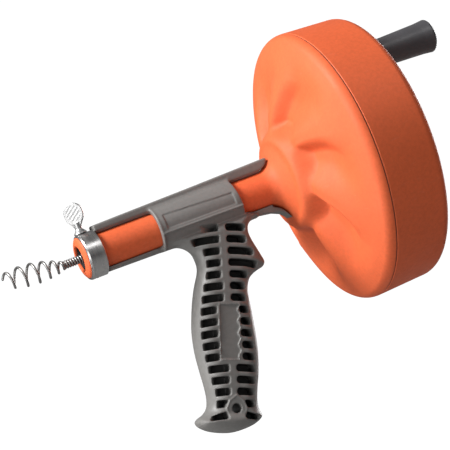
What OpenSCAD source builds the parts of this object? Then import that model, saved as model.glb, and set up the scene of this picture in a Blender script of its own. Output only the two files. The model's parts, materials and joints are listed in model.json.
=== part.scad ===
// Hand drum auger: orange cable drum and neck tube turning in a grey pistol grip.
// Millimetres. Origin at the root of the drill shank on the drum's rear face.
// +X runs along the spin axis to the rear, +Z up, the grip hangs towards -Z.

/* [Drum] */
// Outside radius of the drum at the seam
drum_r = 102.5; // [90:0.5:120]
// Distance from the rear face to the seam
seam_d = 46; // [36:1:60]
// Rounding of the front rim
rim_r = 9; // [5:0.5:9]
// Wall thickness of the drum shells
wall = 2.6; // [2:0.1:4]
// Axial rise of the front cone per mm of radius
cone_k = 0.4638; // [0.3:0.01:0.6]
// Number of dents in the front face
dent_n = 7; // [3:1:8]
// Angle of the first dent from the top
dent_a = 27; // [0:1:71]
// Large radius of a dent
dent_r = 15; // [8:0.5:18]

/* [Neck tube] */
// Outside radius of the neck tube
tube_r = 13; // [11:0.5:16]
// Inside radius of the neck tube
tube_in = 10.6; // [8:0.1:12]
// Distance from the rear face to the tube's front end
tube_end = 245.4; // [200:0.2:280]
// Outside radius of the thick end under the collar
tube_tip_r = 15.2; // [14:0.1:17]

/* [Collar] */
// Outside radius of the steel collar
collar_r = 16.8; // [16:0.1:20]
// Width of the collar
collar_w = 13; // [11:0.5:16]
// Position of the thumb screw on the spin axis
screw_x = -238; // [-242:0.5:-234]
// Radius of the paddle head
paddle_r = 7.4; // [6:0.1:10]

/* [Grip] */
// Lean of the grip from the vertical
grip_lean = 20; // [10:1:30]
// Half thickness of the grip across its flanks
grip_half = 14.5; // [11:0.5:18]
// Radius of the hanging hole
hang_r = 3.5; // [2:0.1:5]
// Distance between the ladder pockets
rung_pitch = 8.39; // [7:0.01:10]
// Height of a ladder pocket
rung_gap = 5.6; // [4:0.1:7]
// Outside radius of the sleeve
sleeve_r = 17; // [16:0.1:20]

/* [Cable] */
// Radius of the wound cable
cable_r = 3.15; // [2.5:0.05:4]
// Coil radius of the outer layer
coil_r = 82; // [70:1:86]
// Turns in each of the three layers
coil_turns = 5.5; // [4:0.5:5.5]
// Wire radius of the auger spring
auger_wire = 0.95; // [0.7:0.05:1.2]

/* [Knob] */
// Distance of the knob from the spin axis
knob_z = 65; // [50:1:75]
// Rear end of the knob
knob_end = 71.5; // [50:0.5:80]

/* [View] */
// Sub-part shown, or all of them

/* [Hidden] */
$fn = 96;
seam_x = -seam_d;
rim_c = drum_r - rim_r;
rim_a = 90 - atan(cone_k);
rim_x = seam_x - 0.08;

orange = [0.86, 0.32, 0.12];
grey = [0.45, 0.44, 0.42];
steel = [0.66, 0.67, 0.68];
dark = [0.09, 0.09, 0.1];
brass = [0.72, 0.6, 0.3];
rubber = [0.12, 0.12, 0.12];

function cone_x(r) = rim_x + rim_r * sin(-rim_a) - (rim_c + rim_r * cos(rim_a) - r) * cone_k;
function arc(cr, cx, r, a0, a1, n) = [for (i = [0:n]) let (a = a0 + (a1 - a0) * i / n)
    [cr + r * cos(a), cx + r * sin(a)]];
function mix(a, b, t) = a + (b - a) * t;
// Catmull-Rom point between p1 and p2
function cr_pt(p0, p1, p2, p3, t) = 0.5 * (2 * p1 + (p2 - p0) * t
    + (2 * p0 - 5 * p1 + 4 * p2 - p3) * t * t + (3 * p1 - p0 - 3 * p2 + p3) * t * t * t);
function smooth(p, n) = [for (i = [1:len(p) - 3]) for (j = [0:n - 1])
    cr_pt(p[i - 1], p[i], p[i + 1], p[i + 2], j / n)];
function unit(v) = v / norm(v);

module turned(p) rotate([0, 90, 0]) rotate_extrude() polygon(p);
module rod(x0, x1, r) translate([x0, 0, 0]) rotate([0, 90, 0]) cylinder(h = x1 - x0, r = r);
module hexrod(x0, x1, af) translate([x0, 0, 0]) rotate([0, 90, 0])
    cylinder(h = x1 - x0, r = af / sqrt(3), $fn = 6);
module polar(a, r) rotate([a, 0, 0]) translate([0, 0, r]) children();
module ring_of(n, a0, r) for (i = [0:n - 1]) polar(a0 + i * 360 / n, r) children();
module on_grip() translate([-150, 0, 0]) rotate([0, grip_lean, 0]) rotate([-90, 0, 0]) children();

// Swept tube of m sides through the points p with the ring vectors u and v
module swept(p, u, v, r, m) {
    n = len(p);
    pts = [for (i = [0:n - 1]) for (j = [0:m - 1])
        p[i] + r * (cos(360 * j / m) * u[i] + sin(360 * j / m) * v[i])];
    sides = [for (i = [0:n - 2]) for (j = [0:m - 1]) for (h = [0, 1]) let (k = (j + 1) % m)
        h == 0 ? [i * m + j, i * m + k, (i + 1) * m + k] : [i * m + j, (i + 1) * m + k, (i + 1) * m + j]];
    caps = [[for (j = [m - 1:-1:0]) j], [for (j = [0:m - 1]) (n - 1) * m + j]];
    polyhedron(points = pts, faces = concat(sides, caps), convexity = 10);
}

/* ---- front shell with the neck tube ---- */
module front_outer() turned(concat(
    [[0, seam_x], [drum_r - 0.6, seam_x]],
    arc(rim_c, rim_x, rim_r, -4, -rim_a, 9),
    [[85, cone_x(85) - 0.4], [60, cone_x(60) + 0.2], [45, cone_x(45) + 1.9], [36, -80.8], [31.5, -82.7],
    [26.9, -84.9], [22, -87.3], [18, -89.7], [15.5, -92.2], [13.7, -95.6], [tube_r, -99],
    [tube_r, -229.6], [tube_tip_r, -230.4], [tube_tip_r, 2.4 - tube_end], [tube_tip_r - 1, 1.5 - tube_end],
    [tube_tip_r - 3, 0.6 - tube_end], [9.6, -tube_end], [0, -tube_end]]));

module front_hollow() turned(concat(
    [[0, seam_x + 1], [drum_r - 5, seam_x + 1], [drum_r - 5, seam_x - 4]],
    arc(rim_c, rim_x, rim_r - wall, -45, -rim_a, 3),
    [[60, cone_x(60) + wall * 1.2], [45, -73.7], [31, -79.8], [25, -82.4], [0, -82.4]]));

dent_slope = atan((cone_x(88) + 6 - cone_x(46)) / 42);

module dent(g) translate([cone_x(46) - 6.8, 0, 46]) {
    sphere(r = dent_r + g);
    rotate([0, dent_slope, 0]) cylinder(h = 43, r1 = dent_r - 1.5 + g, r2 = 1.5 + g);
}

module front_drum_shell() color(orange) difference() {
    front_outer();
    difference() {
        front_hollow();
        for (i = [0:dent_n - 1]) polar(dent_a + i * 360 / dent_n, 0) dent(wall);
        ring_of(5, 36, 91.5) rod(-60, seam_x + 2, 5.5);
    }
    for (i = [0:dent_n - 1]) polar(dent_a + i * 360 / dent_n, 0) dent(0);
    rod(-tube_end + 2, -80, tube_in);
    rod(-tube_end - 1, -tube_end + 3, 9);
    turned([[drum_r - 2.65, seam_x + 1], [drum_r - 0.95, seam_x + 1], [drum_r - 0.95, seam_x - 1.2],
        [drum_r - 2.65, seam_x - 1.2]]);
    ring_of(5, 36, 91.5) rod(-53.4, seam_x + 1, 1.95);
    translate([screw_x, 0, 8]) cylinder(h = 10, r = 2.75);
    translate([screw_x, 0, -18]) cylinder(h = 10, r = 1.55);
}

/* ---- rear shell ---- */
module rear_outer() turned(concat(
    [[0, seam_x], [drum_r - 0.6, seam_x], [drum_r + 0.1, seam_x + 0.7], [drum_r - 1.6, -7]],
    arc(drum_r - 8.6, -7, 7, 9, 90, 7),
    [[86, 0], [84, -2.5], [26, -2.5], [24, 0], [0, 0]]));

module rear_hollow() turned([[0, seam_x - 1], [drum_r - 5, seam_x - 1], [drum_r - 5, seam_x + 4],
    [drum_r - 3, seam_x + 6], [drum_r - 4.2, -10], [drum_r - 8.4, -5.1], [0, -5.1]]);

module rear_drum_shell() color(orange) difference() {
    union() {
        difference() {
            rear_outer();
            difference() {
                rear_hollow();
                ring_of(5, 36, 91.5) rod(seam_x - 2, 0, 6);
            }
        }
        polar(0, knob_z) rod(-4, 0.5, 13);
    }
    ring_of(5, 36, 91.5) rod(seam_x - 1, 1, 2.2);
    ring_of(5, 36, 91.5) rod(seam_x + 5, 1, 4.2);
    turned([[drum_r - 2.65, seam_x - 1], [drum_r - 0.95, seam_x - 1], [drum_r - 0.95, seam_x + 1.2],
        [drum_r - 2.65, seam_x + 1.2]]);
    rod(-8, 1, 4.05);
    polar(0, knob_z) rod(-8, 3, 3.05);
    polar(0, 90) rod(-8, -1.2, 1.95);
}

module drum_seal_ring() color(rubber) turned([[drum_r - 2.6, seam_x - 1.15], [drum_r - 1, seam_x - 1.15],
    [drum_r - 1, seam_x + 1.15], [drum_r - 2.6, seam_x + 1.15]]);

module shell_screws() color(steel) ring_of(5, 36, 91.5) difference() {
    union() {
        rod(-53, seam_x + 5.1, 1.9);
        rod(seam_x + 5, seam_x + 7.6, 3.6);
    }
    hexrod(seam_x + 6, seam_x + 8, 2.6);
}

/* ---- nose ---- */
module nose_collar() color(steel) difference() {
    turned([[tube_tip_r + 0.02, -230], [collar_r - 0.5, -230], [collar_r, -230.5],
        [collar_r, 1.3 - 230 - collar_w], [collar_r - 0.5, 0.4 - 230 - collar_w],
        [collar_r - 1.3, -230 - collar_w], [tube_tip_r + 0.02, -230 - collar_w]]);
    translate([screw_x - 20, -20, 16.6]) cube([40, 40, 5]);
    translate([screw_x, 0, 8]) cylinder(h = 12, r = 2.55);
    translate([screw_x, 0, -20]) cylinder(h = 12, r = 1.55);
}

module collar_pin() color(steel) translate([screw_x, 0, -16.9]) cylinder(h = 4.8, r = 1.5, $fn = 32);

module nose_bushing() color(dark) difference() {
    turned([[4, -222], [10.55, -222], [10.55, -243.3], [8.4, -243.3], [4, -239.5]]);
    translate([screw_x, 0, 2]) cylinder(h = 12, r = 2.6);
}

module cable_guide() color(rubber) turned([[4.6, -104], [10.5, -104], [10.5, -82.3], [15, -82.3],
    [24.5, -72.5], [24.5, -71.5], [22.4, -71.5], [13, -79.5], [9, -82], [4.6, -92]]);

/* ---- stored cable ---- */
lay = coil_turns;
total = 3 * lay + 0.9;
function run_x(k, f) = mix(-9.5, -44.5, k % 2 == 0 ? f : 1 - f);
function lay_pos(k, f) = [run_x(k, k == 0 ? f : max(0, f - 0.04) / 0.96),
    coil_r - 6.5 * k + (k == 0 ? 0 : 6.5 * max(0, 1 - f / 0.04))];
function coil_pos(w) = w < 3 * lay
    ? lay_pos(floor(w / lay), w / lay - floor(w / lay))
    : let (v = (w - 3 * lay) / 0.9) [mix(-44.5, -84, v), (coil_r - 13) * pow(1 - v, 2) + 0.01];
function coil_pt(w) = let (q = coil_pos(w), a = 360 * w) [q[0], -q[1] * sin(a), q[1] * cos(a)];

module cable_coil() color(steel) {
    n = floor(total * 20);
    w = [for (i = [0:n]) min(total, i / 20)];
    p = [for (i = [0:n]) coil_pt(w[i])];
    t = [for (i = [0:n]) unit(p[min(n, i + 1)] - p[max(0, i - 1)])];
    u = [for (i = [0:n]) let (r = [0, -sin(360 * w[i]), cos(360 * w[i])]) unit(r - (r * t[i]) * t[i])];
    v = [for (i = [0:n]) cross(t[i], u[i])];
    swept(p, u, v, cable_r, 6);
}

module cable_clip() color(steel) difference() {
    translate([-12.4, -6, 83]) cube([7.3, 12, 10.8]);
    translate([-9.5, 20, 82]) rotate([90, 0, 0]) cylinder(h = 40, r = 3.6);
    polar(0, 90) rod(-20, 0, 2);
}

module clip_screw() color(steel) polar(0, 90) difference() {
    union() {
        rod(-12.4, -1.6, 1.9);
        rod(-14.8, -12.4, 3.4);
    }
    hexrod(-15, -13.6, 2.5);
}

/* ---- drill drive ---- */
module drill_stud() color(steel) union() {
    turned([[0, 0], [8, 0], [8, 1.6], [7.2, 2.4], [0, 2.4]]);
    intersection() {
        hexrod(0, 26, 6.35);
        turned([[0, 0], [4, 0], [4, 24.6], [2.9, 26], [0, 26]]);
    }
    rod(-13, 0.5, 3.95);
}

module stud_washer() color(steel) turned([[4.05, -6.6], [9, -6.6], [9, -5.1], [4.05, -5.1]]);

module stud_nut() color(steel) difference() {
    hexrod(-11.6, -6.6, 13);
    rod(-14, -5, 4);
}

/* ---- crank knob ---- */
module knob_bolt() color(steel) polar(0, knob_z) difference() {
    union() {
        rod(-11.2, 1.6, 2.98);
        rod(1.5, knob_end - 7.6, 4);
        turned([[0, knob_end - 7.7], [7, knob_end - 7.7], [7, knob_end - 4.6], [5.8, knob_end - 3.6],
            [0, knob_end - 3.6]]);
    }
    hexrod(knob_end - 6, knob_end, 5);
}

module knob_washer() color(steel) polar(0, knob_z) turned([[3.05, 0.5], [8.5, 0.5], [8.5, 1.5], [3.05, 1.5]]);

module knob_nut() color(steel) polar(0, knob_z) difference() {
    hexrod(-10.1, -5.1, 10);
    rod(-12, -4, 3);
}

module crank_knob() color(dark) polar(0, knob_z) turned(concat(
    [[4.06, 1.7], [8.9, 1.7], [9.9, 2.7], [10.1, 8], [10.9, 30], [12, knob_end - 10]],
    arc(9.6, knob_end - 3.2, 3.2, 10, 90, 5),
    [[7.6, knob_end], [7.6, knob_end - 7.8], [4.06, knob_end - 7.8]]));

/* ---- clamp ---- */
module clamp_pad() color(brass) translate([screw_x, 0, 0]) difference() {
    translate([0, 0, 3.3]) cylinder(h = 3.3, r = 2.3, $fn = 48);
    translate([0, 0, 4.9]) cylinder(h = 4, r = 1.5, $fn = 48);
}

module thumb_screw() color(steel) translate([screw_x, 0, 0]) union() {
    translate([0, 0, 5]) cylinder(h = 2, r = 1.42, $fn = 48);
    translate([0, 0, 6.7]) cylinder(h = 12, r = 2.48, $fn = 48);
    translate([0, 0, 16.7]) cylinder(h = 3.2, r1 = 4.8, r2 = 2.8, $fn = 48);
    translate([0, 0, 19.8]) cylinder(h = 4, r1 = 2.8, r2 = 2.5, $fn = 48);
    rotate([0, 0, -36]) intersection() {
        union() {
            translate([0, 1.25, 32.2]) rotate([90, 0, 0]) cylinder(h = 2.5, r = paddle_r);
            translate([0, 0, 22]) cylinder(h = 5.5, r1 = 2.6, r2 = 6);
        }
        translate([-20, -1.3, 20]) cube([40, 2.6, 30]);
    }
}

/* ---- moving cable ---- */
module cable_run() color(steel) rod(-258, -95, cable_r);

// Wire path of the auger spring: pitch and radius grow to a bulb, and its axis is bent up a little
tip_bend = 6.1;
function tip_run(w) = 5.113 * w + 1.104 * w * w - 0.0964 * w * w * w;
function bulb(w) = 3.648 + 1.907 * w - 0.0453 * w * w - 0.0604 * w * w * w;
function tip_pt(w) = let (a = 360 * w + 91, r = bulb(w), g = tip_run(w)) [
    -261.05 - g * cos(tip_bend) + r * cos(a) * sin(tip_bend), r * sin(a),
    g * sin(tip_bend) + r * cos(a) * cos(tip_bend)];

module auger_tip() color(steel) {
    n = 109;
    w = [for (i = [0:n]) i / 20 - 0.46];
    p = [for (i = [0:n]) tip_pt(w[i])];
    t = [for (i = [0:n]) unit(p[min(n, i + 1)] - p[max(0, i - 1)])];
    u = [for (i = [0:n]) let (a = 360 * w[i] + 91, r = [0, sin(a), cos(a)]) unit(r - (r * t[i]) * t[i])];
    v = [for (i = [0:n]) cross(t[i], u[i])];
    swept(p, u, v, auger_wire, 8);
}

/* ---- handle ---- */
// Side outline of the grip: distance behind the front line, distance below the spin axis
grip_pts = [[-42, 30.5], [-32.5, 27.8], [-23.5, 25.4], [-17, 24.7], [-11.5, 26], [-7, 29], [-4.5, 33.5],
    [-3, 38.5], [-3.2, 43.5], [-5.3, 52], [-7, 62], [-8, 73], [-8.3, 86], [-6.6, 100], [-3.5, 113],
    [-0.5, 124], [1.2, 133], [0.8, 139.5], [-2, 144], [-6, 147], [-7.4, 150], [-5, 153.5], [1.5, 156.3],
    [10, 157.6], [18.5, 157.5], [27, 155.4], [34.5, 152.3], [39.5, 148.5], [41, 145.3], [39.6, 141],
    [38.2, 135.5], [38.6, 126], [39.7, 116], [40, 104], [39.4, 93.5], [38.2, 83.5], [36.5, 73],
    [34.8, 63], [33.6, 55.5], [34.8, 48], [38, 43.8], [42, 40.8], [45.6, 38.6], [47, 36], [46.6, 33.4],
    [44.2, 29.4], [40.8, 24], [37, 18], [35, 13], [35.2, 8.5], [38, 5], [44.5, 2.4], [52, 0]];
// Ends of the ladder pockets in front of and behind the spine, from top to bottom
pocket = [[3.3, 9.4, 14.4, 28.8], [-7.5, 9.9, 14.9, 29.5], [0, 10.3, 15.7, 34.5], [1.5, 10.8, 16.1, 38.5],
    [0.8, 10.8, 16.6, 31.2], [-1.2, 12, 16.7, 28.6], [-2.8, 12, 17, 29], [-4, 6.7, 22.9, 30.5],
    [-4.4, 7.1, 23.6, 31.6], [-4.3, 7.2, 23.7, 32.6], [-3.4, 8, 24.4, 33.6], [-1.8, 8.1, 24.5, 34],
    [0, 14.5, 19.5, 34.2], [2.2, 14.6, 19.6, 33.9], [5, 15, 19.6, 32.6], [5.6, 13.3, 24.7, 32.6],
    [2.4, 12.7, 24.8, 35]];

function half_width(s, h) = h * sqrt(max(0.04, 1 - pow((s - 16.5) / (s < 16.5 ? 26.5 : 34), 2)));

module flank(h) polygon(concat(
    [for (s = [-10:3:50]) [s, half_width(s, h)]],
    [for (s = [50:-3:-10]) [s, -half_width(s, h)]]));

module foot(a, b) polygon([for (i = [0:39]) [17 + a * cos(9 * i), b * sin(9 * i)]]);

module grip_block(h) on_grip() linear_extrude(height = 2 * h, center = true)
    polygon(concat(smooth(grip_pts, 2), [[43.3, -0.9], [30, -2.4], [-31, 19.8]]));

module grip_body() intersection() {
    grip_block(17);
    union() {
        on_grip() translate([0, 146.5, 0]) rotate([90, 0, 0]) linear_extrude(height = 140) flank(grip_half);
        on_grip() translate([0, 154, 0]) rotate([90, 0, 0]) linear_extrude(height = 7.6) foot(25, 16.5);
        on_grip() translate([0, 158, 0]) rotate([90, 0, 0]) linear_extrude(height = 4.1) foot(23, 14.8);
        translate([-196, 0, 0]) rotate([90, 0, 90]) linear_extrude(height = 84)
            polygon([[16.6, -6], [16.4, -12], [13, -27], [8, -31], [-8, -31], [-13, -27], [-16.4, -12],
            [-16.6, -6]]);
    }
}

module pockets() on_grip() for (i = [0:16]) for (k = [-1, 1]) {
    t = 11.4 + rung_pitch * i;
    q = pocket[i];
    translate([q[0], t - rung_gap / 2, k == 1 ? 1.5 : -20]) cube([q[1] - q[0], rung_gap, 18.5]);
    translate([q[2], t - rung_gap / 2, k == 1 ? 1.5 : -20]) cube([q[3] - q[2], rung_gap, 18.5]);
}

module hang_boss() on_grip() translate([18.9, 140.5, 0]) linear_extrude(height = 29.2, center = true)
    polygon([[0, -9.5], [5.5, -6], [8, 0], [6, 6], [0, 8.5], [-6, 6], [-8, 0], [-5.5, -6]]);

module arms() translate([0, 6.5, 0]) rotate([90, 0, 0]) linear_extrude(height = 13) {
    polygon([[-229.5, 10], [-229.5, 18.4], [-228.8, 19.1], [-154, 20.3], [-93, 21.6], [-90.6, 21.6],
        [-89.7, 20.9], [-90.3, 18.4], [-92.6, 16.1], [-97, 14.1], [-97, 10]]);
    polygon([[-229.5, -10], [-229.5, -15.3], [-228.5, -15.6], [-186, -16.2], [-122, -16.6],
        [-107, -16.9], [-97, -18.2], [-91, -20.8], [-87.8, -24], [-86.3, -26.4], [-86, -25.6],
        [-87.7, -22.6], [-89.9, -19.1], [-92.4, -16.5], [-97, -14.1], [-97, -10]]);
}

// Sleeve round the neck tube with the two arms that reach to the collar and the hub
module neck_yoke() color(grey) difference() {
    union() {
        turned([[15.05, -186.5], [sleeve_r - 0.7, -186.5], [sleeve_r, -185.5], [sleeve_r, -121.5],
            [sleeve_r - 0.7, -120.5], [15.05, -120.5]]);
        arms();
    }
    rod(-250, -190, 13.6);
    rod(-190, -118, 15.05);
    rod(-118, -85, 13.6);
}

module grip_handle() color(grey) difference() {
    union() {
        difference() {
            grip_body();
            pockets();
        }
        hang_boss();
    }
    rod(-250, -85, sleeve_r);
    arms();
    on_grip() translate([18.9, 140.5, -20]) cylinder(h = 40, r = hang_r);
}

module sleeve_bushings() color(dark) {
    turned([[13.08, -183.5], [15, -183.5], [15, -172], [13.08, -172]]);
    turned([[13.08, -135], [15, -135], [15, -123.5], [13.08, -123.5]]);
}

grip_handle();
neck_yoke();
sleeve_bushings();
front_drum_shell();
rear_drum_shell();
drum_seal_ring();
shell_screws();
nose_collar();
collar_pin();
nose_bushing();
cable_guide();
cable_coil();
cable_clip();
clip_screw();
drill_stud();
stud_washer();
stud_nut();
knob_bolt();
knob_washer();
knob_nut();
crank_knob();
clamp_pad();
thumb_screw();
cable_run();
auger_tip();
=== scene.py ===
import bpy
import json
import math
import numpy as np
import openvdb
from mathutils import Matrix, Vector


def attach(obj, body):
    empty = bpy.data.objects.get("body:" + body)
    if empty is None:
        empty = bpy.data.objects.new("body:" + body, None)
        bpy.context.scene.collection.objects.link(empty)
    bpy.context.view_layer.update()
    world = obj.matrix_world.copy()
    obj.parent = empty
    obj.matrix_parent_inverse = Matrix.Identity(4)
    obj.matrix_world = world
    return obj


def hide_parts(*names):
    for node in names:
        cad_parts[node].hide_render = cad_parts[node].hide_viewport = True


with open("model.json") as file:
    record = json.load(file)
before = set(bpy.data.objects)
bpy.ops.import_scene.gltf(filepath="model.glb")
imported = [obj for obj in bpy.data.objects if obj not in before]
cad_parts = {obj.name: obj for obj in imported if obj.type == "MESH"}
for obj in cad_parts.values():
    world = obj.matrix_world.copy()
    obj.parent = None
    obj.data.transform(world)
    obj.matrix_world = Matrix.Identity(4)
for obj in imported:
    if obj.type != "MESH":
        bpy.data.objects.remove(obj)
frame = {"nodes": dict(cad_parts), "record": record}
scene = bpy.context.scene
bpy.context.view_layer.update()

# ---------------------------------------------------------------- camera
AZ, ROLL, DIST = math.radians(18.65), math.radians(-20.89), 1.5
target = Vector((-0.1350, 0.0, -0.0139))
back = Vector((-math.sin(AZ), -math.cos(AZ), 0.0))
side = Vector((math.cos(AZ), -math.sin(AZ), 0.0))
up = back.cross(side)
cam_x = side * math.cos(ROLL) + up * math.sin(ROLL)
cam_y = up * math.cos(ROLL) - side * math.sin(ROLL)
cam = bpy.data.objects.new("camera", bpy.data.cameras.new("camera"))
scene.collection.objects.link(cam)
place = Matrix((cam_x, cam_y, back)).transposed().to_4x4()
place.translation = target + back * DIST
cam.matrix_world = place
cam.data.sensor_width = 36.0
cam.data.lens = 165.93
cam.data.clip_start, cam.data.clip_end = 0.05, 60.0
scene.camera = cam


# ---------------------------------------------------------------- materials
def node(nt, kind, **kw):
    """New node. A keyword sets the input of that name (__ stands for a space), or a property (_name)."""
    n = nt.nodes.new(kind)
    for k, v in kw.items():
        if k.startswith("_"):
            setattr(n, k[1:], v)
        else:
            n.inputs[k.replace("__", " ")].default_value = v
    return n


def base_material(name, rough, metallic=0.0, spec=0.5, coat=0.0, coat_rough=0.1):
    mat = bpy.data.materials.new(name)
    mat.use_nodes = True
    nt = mat.node_tree
    bsdf = nt.nodes["Principled BSDF"]
    bsdf.inputs["Roughness"].default_value = rough
    bsdf.inputs["Metallic"].default_value = metallic
    bsdf.inputs["Specular IOR Level"].default_value = spec
    bsdf.inputs["Coat Weight"].default_value = coat
    bsdf.inputs["Coat Roughness"].default_value = coat_rough
    co = nt.nodes.new("ShaderNodeTexCoord")
    return mat, nt, bsdf, co.outputs["Object"]


def noise(nt, co, scale, detail=3.0, rough=0.5):
    n = node(nt, "ShaderNodeTexNoise", Scale=scale, Detail=detail, Roughness=rough)
    nt.links.new(co, n.inputs["Vector"])
    return n.outputs["Fac"]


def ramp(nt, fac, stops):
    r = nt.nodes.new("ShaderNodeValToRGB")
    e = r.color_ramp.elements
    while len(e) < len(stops):
        e.new(0.5)
    for el, (p, c) in zip(e, stops):
        el.position = p
        el.color = (*c, 1.0) if len(c) == 3 else (c[0], c[0], c[0], 1.0)
    nt.links.new(fac, r.inputs["Fac"])
    return r.outputs["Color"]


def mixrgb(nt, fac, a, b, mode="MIX"):
    n = nt.nodes.new("ShaderNodeMix")
    n.data_type = "RGBA"
    n.blend_type = mode
    for v, i in ((fac, 0), (a, 6), (b, 7)):
        if hasattr(v, "is_linked") or hasattr(v, "links"):
            nt.links.new(v, n.inputs[i])
        else:
            n.inputs[i].default_value = v
    return n.outputs[2]


def bump(nt, bsdf, height, strength, dist, prev=None):
    b = node(nt, "ShaderNodeBump", Strength=strength, Distance=dist)
    nt.links.new(height, b.inputs["Height"])
    if prev is not None:
        nt.links.new(prev, b.inputs["Normal"])
    nt.links.new(b.outputs["Normal"], bsdf.inputs["Normal"])
    return b.outputs["Normal"]


def opaque(color):
    return (*color, 1.0)


def moulded(name, color, rough, grain=900.0, grain_h=0.00004, mottle=0.06,
            scuff=0.0, spec=0.5, coat=0.0, painted_shade=0.0):
    """Moulded plastic: slight colour drift, spark-eroded grain, roughness that varies, faint scuffs.

    painted_shade darkens the colour by that share where the mesh attribute "recess" is 1: painted shade in deep
    hollows."""
    mat, nt, bsdf, co = base_material(name, rough, spec=spec, coat=coat, coat_rough=0.25)
    big = noise(nt, co, 26.0, 2.0)
    fine = noise(nt, co, 420.0, 4.0, 0.6)
    a = tuple(v * (1 - mottle) for v in color)
    b = tuple(min(1.0, v * (1 + mottle)) for v in color)
    col = ramp(nt, big, [(0.3, a), (0.7, b)])
    speck = ramp(nt, fine, [(0.35, (0.93,)), (0.62, (1.03,))])
    col = mixrgb(nt, 1.0, col, speck, "MULTIPLY")
    if scuff:
        v = node(nt, "ShaderNodeTexNoise", Scale=130.0, Detail=6.0, Roughness=0.72, Distortion=1.6)
        mp = node(nt, "ShaderNodeMapping")
        mp.inputs["Scale"].default_value = (0.35, 1.0, 2.6)
        nt.links.new(co, mp.inputs["Vector"])
        nt.links.new(mp.outputs["Vector"], v.inputs["Vector"])
        fac = ramp(nt, v.outputs["Fac"], [(0.60, (0.0,)), (0.70, (scuff,))])
        col = mixrgb(nt, fac, col, opaque(tuple(0.55 * x + 0.25 for x in color)))
    # painted shade: the colour is darkened down in hollows, where the "recess" attribute is high
    if painted_shade:
        at = nt.nodes.new("ShaderNodeAttribute")
        at.attribute_name = "recess"
        dark = ramp(nt, at.outputs["Fac"], [(0.0, (1.0,)), (1.0, (1.0 - painted_shade,))])
        col = mixrgb(nt, 1.0, col, dark, "MULTIPLY")
    nt.links.new(col, bsdf.inputs["Base Color"])
    rr = ramp(nt, noise(nt, co, 60.0, 5.0, 0.65), [(0.3, (rough - 0.06,)), (0.7, (rough + 0.07,))])
    nt.links.new(rr, bsdf.inputs["Roughness"])
    n1 = bump(nt, bsdf, noise(nt, co, grain, 2.0, 0.6), 0.35, grain_h)
    bump(nt, bsdf, noise(nt, co, 70.0, 2.0), 0.12, 0.0004, n1)
    return mat


def metal(name, color, rough, brush=None, spots=0.0, dark=0.7):
    """Worked metal: tone drift, brushed streaks along one axis, dull spots and fine scratches."""
    mat, nt, bsdf, co = base_material(name, rough, metallic=1.0)
    tone = noise(nt, co, 55.0, 4.0, 0.6)
    a = tuple(v * dark for v in color)
    col = ramp(nt, tone, [(0.25, a), (0.65, color)])
    src = co
    if brush:
        mp = node(nt, "ShaderNodeMapping")
        mp.inputs["Scale"].default_value = brush
        nt.links.new(co, mp.inputs["Vector"])
        src = mp.outputs["Vector"]
    streak = noise(nt, src, 300.0, 3.0, 0.6)
    col = mixrgb(nt, 1.0, col, ramp(nt, streak, [(0.3, (0.88,)), (0.7, (1.0,))]), "MULTIPLY")
    if spots:
        sp = ramp(nt, noise(nt, co, 210.0, 5.0, 0.75), [(0.58, (0.0,)), (0.68, (spots,))])
        col = mixrgb(nt, sp, col, opaque((0.07, 0.055, 0.045)))
    nt.links.new(col, bsdf.inputs["Base Color"])
    rr = ramp(nt, streak, [(0.25, (max(0.05, rough - 0.08),)), (0.75, (rough + 0.10,))])
    nt.links.new(rr, bsdf.inputs["Roughness"])
    bump(nt, bsdf, streak, 0.18, 0.00003)
    return mat


MAT = {
    "orange_plastic": moulded("orange_plastic", (0.74, 0.128, 0.040), 0.60, spec=0.35, mottle=0.03, scuff=0.08),
    # the grey plastic gets painted shade, much darker deep in the ladder pockets
    "grey_plastic": moulded("grey_plastic", (0.180, 0.174, 0.166), 0.46, grain=700.0, grain_h=0.00006,
                            mottle=0.05, scuff=0.10, painted_shade=0.72),
    "black_plastic": moulded("black_plastic", (0.078, 0.076, 0.082), 0.42, mottle=0.08, scuff=0.05, coat=0.12),
    "bearing_plastic": moulded("bearing_plastic", (0.016, 0.016, 0.016), 0.75, spec=0.15, mottle=0.1),
    "seal_rubber": moulded("seal_rubber", (0.025, 0.025, 0.025), 0.7, mottle=0.1),
    "collar_steel": metal("collar_steel", (0.62, 0.61, 0.60), 0.30, brush=(1.0, 0.12, 0.12), dark=0.85),
    "nickel": metal("nickel", (0.50, 0.50, 0.50), 0.42, dark=0.92),
    "cable_steel": metal("cable_steel", (0.38, 0.37, 0.36), 0.40, spots=0.35, dark=0.6),
    "fixings_steel": metal("fixings_steel", (0.60, 0.60, 0.60), 0.32, spots=0.10, dark=0.8),
    "brass": metal("brass", (0.70, 0.50, 0.22), 0.30, spots=0.12, dark=0.8),
}
slot_of = {s["node"]: s["material_slot"] for s in frame["record"]["subparts"]}
for name, ob in frame["nodes"].items():
    ob.data.materials.clear()
    ob.data.materials.append(MAT[slot_of[name]])
    for p in ob.data.polygons:
        p.material_index = 0


# ---------------------------------------------------------------- mesh helpers (all shapes in millimetres)
def mesh_piece(name, verts, faces, body, slot, nodes=(), sharp=None):
    me = bpy.data.meshes.new(name)
    me.from_pydata((np.asarray(verts, float) * 0.001).tolist(), [], [tuple(int(i) for i in f) for f in faces])
    me.validate()
    me.update()
    me.polygons.foreach_set("use_smooth", [True] * len(me.polygons))
    ob = bpy.data.objects.new(name, me)
    scene.collection.objects.link(ob)
    me.materials.append(MAT[slot])
    if sharp is not None:
        me.set_sharp_from_angle(angle=math.radians(sharp))
    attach(ob, body)
    if nodes:
        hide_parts(*nodes)
    return ob


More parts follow.
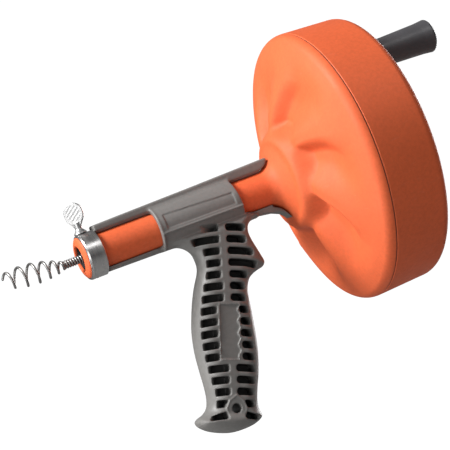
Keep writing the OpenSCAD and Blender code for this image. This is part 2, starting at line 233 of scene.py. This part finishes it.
def sweep(points, radius, sides):
    """Round tube along the points, closed by a flat face at each end."""
    p = np.asarray(points, float)
    t = np.gradient(p, axis=0)
    t /= np.linalg.norm(t, axis=1)[:, None]
    ref = np.array([0.0, 0.0, 1.0]) if abs(t[0][2]) < 0.9 else np.array([0.0, 1.0, 0.0])
    u = np.empty_like(p)
    u[0] = np.cross(t[0], np.cross(ref, t[0]))
    for i in range(1, len(p)):
        u[i] = u[i - 1] - t[i] * np.dot(u[i - 1], t[i])
        u[i] /= np.linalg.norm(u[i])
    u[0] /= np.linalg.norm(u[0])
    v = np.cross(t, u)
    r = np.broadcast_to(radius, (len(p),))
    a = np.arange(sides) * 2 * math.pi / sides
    ring = (p[:, None, :] + r[:, None, None] * (np.cos(a)[None, :, None] * u[:, None, :]
                                                 + np.sin(a)[None, :, None] * v[:, None, :]))
    n = len(p)
    verts = ring.reshape(-1, 3)
    faces = []
    for i in range(n - 1):
        for j in range(sides):
            k = (j + 1) % sides
            faces.append((i * sides + j, i * sides + k, (i + 1) * sides + k, (i + 1) * sides + j))
    faces.append(tuple(range(sides - 1, -1, -1)))
    faces.append(tuple((n - 1) * sides + j for j in range(sides)))
    return verts, faces


def revolve(profile, segs, push=None):
    """Closed loop of (radius, x) turned round the X axis. push(r, angles) moves a ring's points along +X."""
    n = len(profile)
    a = np.arange(segs) * 2 * math.pi / segs
    verts = np.zeros((n, segs, 3))
    for i, (r, x) in enumerate(profile):
        verts[i, :, 0] = x if push is None else x + push(r, a)
        verts[i, :, 1] = -r * np.sin(a)
        verts[i, :, 2] = r * np.cos(a)
    faces = []
    for i in range(n):
        k = (i + 1) % n
        for j in range(segs):
            q = (j + 1) % segs
            faces.append((i * segs + j, k * segs + j, k * segs + q, i * segs + q))
    return verts.reshape(-1, 3), faces


def arc(cr, cx, r, a0, a1, n):
    """Points (radius, x) on an arc of radius r round (cr, cx), from angle a0 to a1 in degrees."""
    return [(cr + r * math.cos(math.radians(a0 + (a1 - a0) * i / n)),
             cx + r * math.sin(math.radians(a0 + (a1 - a0) * i / n))) for i in range(n + 1)]


def line(p, q, n):
    return [(p[0] + (q[0] - p[0]) * i / n, p[1] + (q[1] - p[1]) * i / n) for i in range(n)]


def sstep(a, b, x):
    """Smooth step from 0 at a to 1 at b."""
    t = np.clip((x - a) / (b - a), 0, 1)
    return t * t * (3 - 2 * t)


def poly_sd(px, pz, pts):
    """Signed distance to a closed polygon, negative inside."""
    p = np.asarray(pts, float)
    d = np.full(px.shape, 1e9)
    inside = np.zeros(px.shape, bool)
    for i in range(len(p)):
        ax, az = p[i]
        bx, bz = p[(i + 1) % len(p)]
        ex, ez = bx - ax, bz - az
        wx, wz = px - ax, pz - az
        h = np.clip((wx * ex + wz * ez) / (ex * ex + ez * ez), 0, 1)
        d = np.minimum(d, (wx - ex * h) ** 2 + (wz - ez * h) ** 2)
        if az != bz:
            hit = (az > pz) != (bz > pz)
            inside ^= hit & (px < ax + (bx - ax) * (pz - az) / (bz - az))
    d = np.sqrt(d)
    return np.where(inside, -d, d)


def smin(a, b, k):
    """Union of two fields with a fillet about k wide."""
    h = np.clip(0.5 + 0.5 * (b - a) / k, 0, 1)
    return b + (a - b) * h - k * h * (1 - h)


def smax(a, b, k):
    """Intersection of two fields with an edge rounded by about k."""
    return -smin(-a, -b, k)


def rounded(a, b, radius):
    """Intersection of two fields at right angles, with corners of that radius."""
    qa, qb = a + radius, b + radius
    outside = np.sqrt(np.maximum(qa, 0) ** 2 + np.maximum(qb, 0) ** 2)
    return outside + np.minimum(np.maximum(qa, qb), 0) - radius


def spline(pts, n):
    """Smooth curve through all the points but the first and last, n steps to a span."""
    p = np.asarray(pts, float)
    out = []
    for i in range(1, len(p) - 2):
        for j in range(n):
            t = j / n
            out.append(0.5 * (2 * p[i] + (p[i + 1] - p[i - 1]) * t
                              + (2 * p[i - 1] - 5 * p[i] + 4 * p[i + 1] - p[i + 2]) * t * t
                              + (3 * p[i] - p[i - 1] - 3 * p[i + 1] + p[i + 2]) * t ** 3))
    return [tuple(q) for q in out]


def from_field(field, origin, step):
    """Surface of a distance field sampled on a grid, as vertices and quads."""
    g = openvdb.FloatGrid(background=float(step * 3))
    g.copyFromArray(np.ascontiguousarray(np.clip(field, -step * 3, step * 3).astype(np.float32)))
    pts, quads = g.convertToQuads(isovalue=0.0)
    verts = np.asarray(pts, float) * step + np.asarray(origin)
    return verts, np.asarray(quads)[:, ::-1]


# ---------------------------------------------------------------- front drum shell with the neck tube
DRUM_R, SEAM_X = 102.5, -46.0
SLOPE = 0.4638  # how fast the conical face comes forward, in mm of X to a mm of radius
ROUND_R = 9.0  # rounding between the side wall and the face, about the centre (ROUND_C, ROUND_X)
ROUND_C, ROUND_X = DRUM_R - ROUND_R, SEAM_X - 0.08
ROUND_END = 90 - math.degrees(math.atan(SLOPE))
NECK_R, BORE_R = 13.0, 10.6
WALL = 2.6


def cone_x(r):
    """X of the undented conical face at radius r."""
    return (ROUND_X - ROUND_R * math.sin(math.radians(ROUND_END))
            - (ROUND_C + ROUND_R * math.cos(math.radians(ROUND_END)) - r) * SLOPE)


# face and neck outside, from the rounding at the rim down to the neck tube, as (radius, x)
FLARE = [(97.29, cone_x(97.29)), (85.0, cone_x(85) - 0.4), (72.0, cone_x(72) - 0.45), (60.0, cone_x(60) + 0.2),
         (52.0, cone_x(52) + 0.95), (45.0, -76.6), (40.0, -78.8), (36.0, -80.8), (31.5, -82.7), (26.9, -84.9),
         (22.0, -87.3), (18.0, -89.7), (15.5, -92.2), (13.7, -95.6), (NECK_R, -99.0), (NECK_R, -103.0)]


DENTS = 7


def dents(r, a):
    """How far the face is pressed in at radius r and angles a (from the top towards -Y).

    The ridge between two scoops sweeps round as it goes outwards. Each scoop drops steeply behind its
    ridge and comes back up gently to the next one. A shallow groove and a ridge circle the hub."""
    if r < 25 or r > 96:
        return np.zeros_like(a)
    one = 2 * math.pi / DENTS
    ridge = math.radians(8 + 17 * min(1.0, max(0.0, (r - 40) / 36)))
    u = ((a - ridge) / one) % 1.0
    scoop = sstep(-0.02, 0.27, u) * (1 - sstep(0.38, 0.88, u))
    deep = 9.6 * sstep(35, 45, r) * (1 - sstep(58, 93, r))
    ring = 1.3 * math.exp(-((r - 40.5) / 3.6) ** 2) - 1.5 * math.exp(-((r - 33.0) / 3.4) ** 2)
    return deep * scoop + ring


outer = ([(DRUM_R - 1.05, SEAM_X), (DRUM_R - 1.05, SEAM_X - 0.45),
          (DRUM_R - 0.25, SEAM_X - 0.5), (DRUM_R - 0.06, SEAM_X - 0.62)]
         + arc(ROUND_C, ROUND_X, ROUND_R, -6, -ROUND_END, 16)
         + spline([(101.0, cone_x(97.29) + 3.0)] + FLARE, 9)[1:]
         + [(NECK_R, x) for x in (-110, -130, -150, -190, -229.0)]
         + [(13.1, -229.6), (15.1, -230.4), (15.2, -231), (15.2, -242.6), (15.0, -243.2), (14.5, -243.8),
            (13.2, -244.5), (11.6, -245.1), (10.4, -245.38), (9.8, -245.3), (9.35, -244.9),
            (9.2, -244.3), (9.2, -243.5), (10.5, -243.45)]
         + [(BORE_R, x) for x in (-243.2, -180, -120, -84)] + [(10.8, -82.6), (11.5, -82.4)])
inner = (line((12.0, -82.4), (25.0, -82.4), 6)
         + [(25.0, -82.4), (31.0, -79.8), (38.0, -76.75), (45.0, -73.7), (52.0, cone_x(52) + 3.05)]
         + line((60.0, cone_x(60) + 3.12), (97.29, cone_x(97.29) + 2.87), 24)
         + arc(ROUND_C, ROUND_X, ROUND_R - WALL, -ROUND_END, -45, 4) + [(97.5, -50.0), (97.5, SEAM_X)])
seg = 480
verts, faces = revolve(outer + inner, seg, dents)
mesh_piece("drum_front_moulding", verts, faces, "drum", "orange_plastic", ["front_drum_shell"], sharp=40)

# rubber ring in the seam, squeezed up to just under the rim
lip = [(2.6, -1.12), (1.12, -1.12), (1.10, -0.42), (0.30, -0.42), (0.20, -0.32),
       (0.20, -0.12), (0.30, -0.03), (1.10, -0.03), (1.12, 1.1), (2.6, 1.1)]
verts, faces = revolve([(DRUM_R - depth, SEAM_X + x) for depth, x in lip], seg)
mesh_piece("seam_gasket", verts, faces, "drum", "seal_rubber", ["drum_seal_ring"], sharp=40)


# ---------------------------------------------------------------- grip handle
# side outline in the leaning frame of the grip: S to the rear and T down along it
grip_pts = [(-42, 30.5), (-32.5, 27.8), (-23.5, 25.4), (-17, 24.7), (-11.5, 26), (-7, 29), (-4.5, 33.5),
            (-3, 38.5), (-3.2, 43.5), (-5.3, 52), (-7, 62), (-8, 73), (-8.3, 86), (-6.6, 100), (-3.5, 113),
            (-0.5, 124), (1.2, 133), (0.8, 139.5), (-2, 144), (-6, 147), (-7.4, 150), (-5, 153.5), (1.5, 156.3),
            (10, 157.6), (18.5, 157.5), (27, 155.4), (34.5, 152.3), (39.5, 148.5), (41, 145.3), (39.6, 141),
            (38.2, 135.5), (38.6, 126), (39.7, 116), (40, 104), (39.4, 93.5), (38.2, 83.5), (36.5, 73),
            (34.8, 63), (33.6, 55.5), (34.8, 48), (38, 43.8), (42, 40.8), (45.6, 38.6), (47, 36), (46.6, 33.4),
            (44.2, 29.4), (40.8, 24), (37, 18), (35, 13), (35.2, 8.5), (38, 5), (44.5, 2.4), (52, 0)]
# where each ladder pocket starts and ends along the grip's depth, from the top row down
pocket = [(3.3, 9.4, 14.4, 29.5), (-9.5, 9.9, 14.9, 30.0), (-1.0, 10.3, 15.7, 35.5), (0.6, 10.8, 16.1, 39.5),
          (0.0, 10.8, 16.6, 31.8), (-2.2, 12, 16.7, 29.2), (-3.8, 12, 17, 29.6), (-4.9, 6.7, 22.9, 31.2),
          (-5.4, 7.1, 23.6, 32.6), (-5.2, 7.2, 23.7, 33.6), (-4.2, 8, 24.4, 34.6), (-2.6, 8.1, 24.5, 35),
          (-0.8, 14.5, 19.5, 35.2), (1.6, 14.6, 19.6, 34.9), (4.2, 15, 19.6, 33.6), (5.0, 13.3, 24.7, 33.4),
          (1.6, 12.7, 24.8, 36)]
LEAN = math.radians(20)
ROW_TOP, ROW_PITCH, ROW_HALF = 10.95, 8.39, 2.75  # ladder rows: first centre, spacing, half height
WEB = 1.6  # half thickness of the wall between the pockets of the two sides
HOLE_S, HOLE_T, HOLE_R = 18.9, 140.5, 3.5
BOSS_Y = 14.4
TUBE_CLEAR, RING_CLEAR, RING_HALF = 13.22, 15.05, 6.0  # bore at the neck tube and at the bearing rings
RING_X = (-177.75, -129.25)
step = 0.6
gx = np.arange(-233, -82, step)
gz = np.arange(-161, 26, step)
gy = np.arange(-20, 20 + step, step)
PX, PZ = np.meshgrid(gx, gz, indexing="ij")
S2 = (PX + 150) * math.cos(LEAN) - PZ * math.sin(LEAN)
T2 = -(PX + 150) * math.sin(LEAN) - PZ * math.cos(LEAN)
outline = spline(grip_pts, 4) + [(43.3, -0.9), (30, -2.4), (-31, 19.8)]
D2 = poly_sd(S2, T2, outline)
Y = np.abs(gy)[None, None, :]
S, T, D, X, Z = (v[:, :, None] for v in (S2, T2, D2, PX, PZ))
half = 14.3 + 1.0 * (1 - sstep(10, 34, T)) + 2.4 * sstep(141.5, 149, T)
rnd = 12.5 - 4.0 * sstep(138, 150, T) - 3.0 * (1 - sstep(14, 40, T))
edge = np.maximum(rnd + D, 0) / rnd
body = (np.sqrt(edge ** 2 + (Y / half) ** 2) - 1) * 11.0
# name panel left blank: a shallow field with a scalloped rear edge and a fine raised border
name_panel = np.maximum(np.maximum(8.4 - S, S - (22.4 + 0.9 * np.cos(2 * math.pi * (T - 74.3) / ROW_PITCH))),
                 np.maximum(66.4 - T, T - 105.6))
body = smin(body, smax(np.abs(name_panel) - 0.45, Y - half - 0.30, 0.4), 0.5)
body = np.maximum(body, -smax(name_panel, (half - 0.85) - Y, 0.3))
# foot: a fine groove runs round it, 5 mm above its end
body = smax(body, -smax(np.abs(T - 152.6 + 0.006 * (S - 17) ** 2) - 0.45, half - 0.55 - Y, 0.4), 0.5)
# sleeve round the neck tube: rim bead, flank panels left blank, bead and ledge along the lower edge
RAD = np.sqrt(Y ** 2 + Z ** 2)
ends = np.maximum(-186.5 - X, X + 120.5 + 0.09 * (Z + 16))
ledge = -4.6 - 0.012 * (X + 178)
upper = smax(smax(RAD - 16.9, ends, 1.0), ledge - Z, 0.5)
lower = smax(RAD - 16.05, ends, 1.0)
sleeve = np.minimum(upper, lower)
rim_bead = np.sqrt((RAD - 16.3) ** 2 + (X + 185.6) ** 2) - 0.95
sleeve = smin(sleeve, np.where(Z > -16, rim_bead, 1.0), 0.5)
edge_bead = np.sqrt((Y - 16.15) ** 2 + (Z - ledge - 0.2) ** 2) - 0.95
sleeve = smin(sleeve, smax(edge_bead, ends + 0.4, 0.4), 0.4)
panel_top = 8.6 - 0.045 * (X + 181)
panel = np.maximum(np.maximum(-181.0 - X, X + 126.5), np.maximum(Z - panel_top, (ledge + 2.6) - Z))
sleeve = smax(sleeve, -smax(panel, 16.2 - RAD, 0.7), 0.7)
handle = smin(body, sleeve, 0.9)
skin = handle.copy()
for i, (a0, a1, b0, b1) in enumerate(pocket):
    row = ROW_TOP + ROW_PITCH * i + 0.0042 * (S - 18) ** 2
    for lo, hi, left in ((a0 - 2.4, a1, True), (b0, b1, False)):
        deep = np.clip(13.2 - Y, 0, 8) * 0.85
        if i == 0 and left:
            lo, deep = lo - 7.0, np.clip(14.2 - Y, 0, 16) * 1.7
        front = lo + (deep if left else 0.0)
        rear = hi - (0.0 if left else 0.30 * np.clip(12.5 - Y, 0, 8))
        corner = 1.3 if left else 2.5
        box = rounded(np.maximum(front - S, S - rear), np.abs(T - row) - ROW_HALF, corner)
        if i == len(pocket) - 1:
            box = np.maximum(box, -(T - row) - ROW_HALF + 0.20 * (np.abs(S - HOLE_S) - 8))
        handle = smax(handle, -np.maximum(np.maximum(box, WEB - Y), 14.9 - RAD), 0.5)

# diamond boss round the hanging hole, with a raised outline
diamond = [(0, -8.6), (4.5, -5.2), (6.8, 0), (5.2, 5), (0, 7.4), (-5.2, 5), (-6.8, 0), (-4.5, -5.2)]
boss = poly_sd(S2 - HOLE_S, T2 - HOLE_T, diamond)[:, :, None] - 1.4
handle = smin(handle, smax(boss, Y - BOSS_Y, 0.8), 0.6)
handle = smin(handle, smax(np.abs(boss + 0.8) - 0.5, Y - BOSS_Y - 0.5, 0.4), 0.5)


def bar(pts, half_width):
    """Arm along the neck tube: an outline in X and Z with rounded edges."""
    return rounded(poly_sd(PX, PZ, pts)[:, :, None], Y - half_width, 1.2)


top_arm = bar([(-229.5, 10), (-229.5, 18.6), (-228.9, 19.2), (-154, 20.4), (-92, 21.7), (-90.2, 21.5),
               (-89.5, 20.7), (-90.4, 18.3), (-92.6, 16.1), (-97, 14.1), (-97, 10)], 6.5)
low_arm = bar([(-229.5, -10), (-229.5, -15.4), (-228.5, -15.6), (-186, -16.2), (-122, -16.6), (-107, -16.8),
               (-97, -18.2), (-91, -20.7), (-87.6, -24), (-86.3, -26.3), (-86.1, -25.6), (-87.7, -22.7),
               (-89.9, -19.1), (-92.4, -16.5), (-97, -14.1), (-97, -10)], 6.5)
top_arm = smax(top_arm, 15.0 - Z - 0.9 * np.clip(6.5 - Y, 0, 2.4), 0.2)
low_arm = smax(low_arm, Z + 12.4, 0.4)
handle = smin(handle, top_arm, 2.6)
handle = smin(handle, low_arm, 1.2)
near_ring = (np.abs(X - RING_X[0]) < RING_HALF) | (np.abs(X - RING_X[1]) < RING_HALF)
bore = RAD - np.where(near_ring, RING_CLEAR, TUBE_CLEAR)
handle = smax(handle, -bore, 0.15)
hole = np.sqrt((S - HOLE_S) ** 2 + (T - HOLE_T) ** 2)
handle = smax(handle, -(hole - HOLE_R), 0.5)
verts, quads = from_field(handle, (gx[0], gz[0], gy[0]), step)
verts = verts[:, [0, 2, 1]]
grip = mesh_piece("grip_moulding", verts, quads[:, ::-1], "handle", "grey_plastic",
                  ["grip_handle", "neck_yoke"])
# painted shade: the grey is darkened where a surface lies well below the outer skin, down in the ladder pockets
cell = [np.clip(np.round((verts[:, k] - o) / step).astype(int), 0, n - 1)
        for k, o, n in ((0, gx[0], len(gx)), (2, gz[0], len(gz)), (1, gy[0], len(gy)))]
recess = np.clip((-skin[cell[0], cell[1], cell[2]] - 0.8) / 3.5, 0, 1)
grip.data.attributes.new("recess", "FLOAT", "POINT").data.foreach_set("value", recess.astype(np.float32))


# ---------------------------------------------------------------- cable, auger and thumb screw
def coil_point(x, a, r):
    return (x, r * math.sin(a), r * math.cos(a))


CABLE_X, CABLE_RUN = -95.0, 163.0  # rear end of the straight cable, and its length
WIRE_R, WIRE_AXIS_R, PITCH = 0.95, 2.2, 1.9
turns = CABLE_RUN / PITCH
count = int(turns * 14)
pts = [coil_point(CABLE_X - CABLE_RUN * i / count, -2 * math.pi * turns * (1 - i / count), WIRE_AXIS_R)
       for i in range(count + 1)]
verts, faces = sweep(pts, WIRE_R, 8)
mesh_piece("cable_run_wound", verts, faces, "cable", "cable_steel", ["cable_run"])
core, cf = sweep([(CABLE_X - 0.5 - (CABLE_RUN - 1.0) * i / 8, 0, 0) for i in range(9)], 1.5, 16)
mesh_piece("cable_core", core, cf, "cable", "cable_steel")

# the auger spring: w counts turns from the first open coil, and the spring points up by BEND
BEND = math.radians(6.1)
SPRING_X = -261.05
tip = []
for w in np.arange(-0.85, 4.995, 1 / 40):
    run = 5.113 * w + 1.104 * w ** 2 - 0.0964 * w ** 3
    r = max(2.25, 3.648 + 1.907 * w - 0.0453 * w ** 2 - 0.0604 * w ** 3)
    a = 2 * math.pi * w + math.radians(90.9)
    tip.append((SPRING_X - run * math.cos(BEND) + r * math.cos(a) * math.sin(BEND), r * math.sin(a),
                run * math.sin(BEND) + r * math.cos(a) * math.cos(BEND)))
wire = np.full(len(tip), WIRE_R)
wire[-1], wire[-2] = 0.55, 0.86
verts, faces = sweep(tip, wire, 12)
mesh_piece("auger_spring", verts, faces, "cable", "cable_steel", ["auger_tip"])

# thumb screw on its own Z axis: tip, threaded shank, flared neck and a flat ridged paddle
SCREW_X = -238.0
THREAD = 0.8  # lift of one turn
TWIST = math.radians(-36)  # how the paddle stands at rest
fine = 0.22
ax = np.arange(-9, 9 + fine, fine)
az = np.arange(4.0, 41.5, fine)
AX, AY, H = np.meshgrid(ax, ax, az, indexing="ij")
rr = np.sqrt(AX ** 2 + AY ** 2)
ang = np.arctan2(AY, AX)
tri = np.abs(((H / THREAD - ang / (2 * math.pi)) % 1.0) - 0.5) * 2
shaft = smax(rr - (2.14 + 0.34 * tri * (1 - sstep(15.6, 16.6, H))), np.maximum(6.7 - H, H - 18), 0.3)
nib = np.maximum(rr - 1.42, np.maximum(5.0 - H, H - 7.0))
flare = 2.3 + 2.6 * (1 - sstep(16.7, 21.5, H)) ** 1.4
neck = smax(rr - flare, np.maximum(16.7 - H, H - 25.0), 0.5)
U = AX * math.cos(TWIST) + AY * math.sin(TWIST)
V = -AX * math.sin(TWIST) + AY * math.cos(TWIST)
disc = np.sqrt((U - 0.5) ** 2 + (H - 32.1) ** 2) - 7.4
wedge = np.maximum(np.abs(U) - (2.4 + 0.62 * np.clip(H - 21.5, 0, 6)), np.maximum(21 - H, H - 29))
face = smin(disc, wedge, 2.0)
ridge = 0.11 * np.cos(2 * math.pi * (0.817 * (H - 32.2) - 0.576 * U) / 2.4) * (1 - sstep(-2.2, -1.2, disc))
paddle = smax(face, np.abs(V) - (1.2 + ridge), 0.7)
screw = smin(smin(np.minimum(shaft, nib), neck, 0.6), paddle, 1.0)
verts, quads = from_field(screw, (ax[0], ax[0], az[0]), fine)
mesh_piece("thumb_screw_forged", verts + np.array([SCREW_X, 0, 0]), quads, "screw", "nickel", ["thumb_screw"])

# ---------------------------------------------------------------- stage and light
def shade_by_ray(nt, lighting, seen, output):
    """Shows the shader seen to the camera's own rays and lighting to all the others."""
    path = nt.nodes.new("ShaderNodeLightPath")
    mix = nt.nodes.new("ShaderNodeMixShader")
    sources = (path.outputs["Is Camera Ray"], lighting.outputs[0], seen.outputs[0])
    for socket, source in enumerate(sources):
        nt.links.new(source, mix.inputs[socket])
    nt.links.new(mix.outputs[0], output.inputs["Surface"])


white = bpy.data.materials.new("studio_floor")
white.use_nodes = True
nt = white.node_tree
matt = nt.nodes["Principled BSDF"]
matt.inputs["Base Color"].default_value = (0.22, 0.22, 0.22, 1)
matt.inputs["Roughness"].default_value = 0.9
glow = node(nt, "ShaderNodeEmission", Color=(1, 1, 1, 1), Strength=1.0)
both = nt.nodes.new("ShaderNodeAddShader")
nt.links.new(matt.outputs[0], both.inputs[0])
nt.links.new(glow.outputs[0], both.inputs[1])
shade_by_ray(nt, matt, both, nt.nodes["Material Output"])
FLOOR_HALF, FLOOR_Z = 14, -0.5
corners = [(x * FLOOR_HALF, y * FLOOR_HALF, FLOOR_Z) for x, y in ((-1, -1), (1, -1), (1, 1), (-1, 1))]
floor_mesh = bpy.data.meshes.new("studio_floor")
floor_mesh.from_pydata(corners, [], [(0, 1, 2, 3)])
floor_mesh.materials.append(white)
floor = bpy.data.objects.new("studio_floor", floor_mesh)
scene.collection.objects.link(floor)

world = bpy.data.worlds.new("studio")
scene.world = world
world.use_nodes = True
nt = world.node_tree
nt.nodes.clear()
lighting = node(nt, "ShaderNodeBackground", Color=(1, 1, 1, 1), Strength=0.20)
seen = node(nt, "ShaderNodeBackground", Color=(1, 1, 1, 1), Strength=1.05)
shade_by_ray(nt, lighting, seen, nt.nodes.new("ShaderNodeOutputWorld"))


def area(name, right, upward, toward, size, watts):
    """Round soft light aimed at the target, from metres to the camera's right, up and towards it."""
    ld = bpy.data.lights.new(name, "AREA")
    ld.shape = "DISK"
    ld.size = size
    ld.energy = watts
    lo = bpy.data.objects.new(name, ld)
    pos = target + cam_x * right + cam_y * upward + back * toward
    lo.matrix_world = (pos - target).to_track_quat("Z", "Y").to_matrix().to_4x4()
    lo.location = pos
    scene.collection.objects.link(lo)


area("key", -1.24, 0.64, 0.50, 0.6, 36.0)
area("overhead", 0.32, 1.10, 0.75, 0.5, 2.3)
area("front", -0.74, -0.28, 1.15, 0.8, 5.0)
area("low", -1.05, -0.85, 0.40, 0.8, 12.0)
area("rear", 0.75, 0.35, -1.2, 0.9, 14.0)

scene.view_settings.view_transform = "Standard"
scene.view_settings.look = "None"
scene.cycles.use_denoising = True
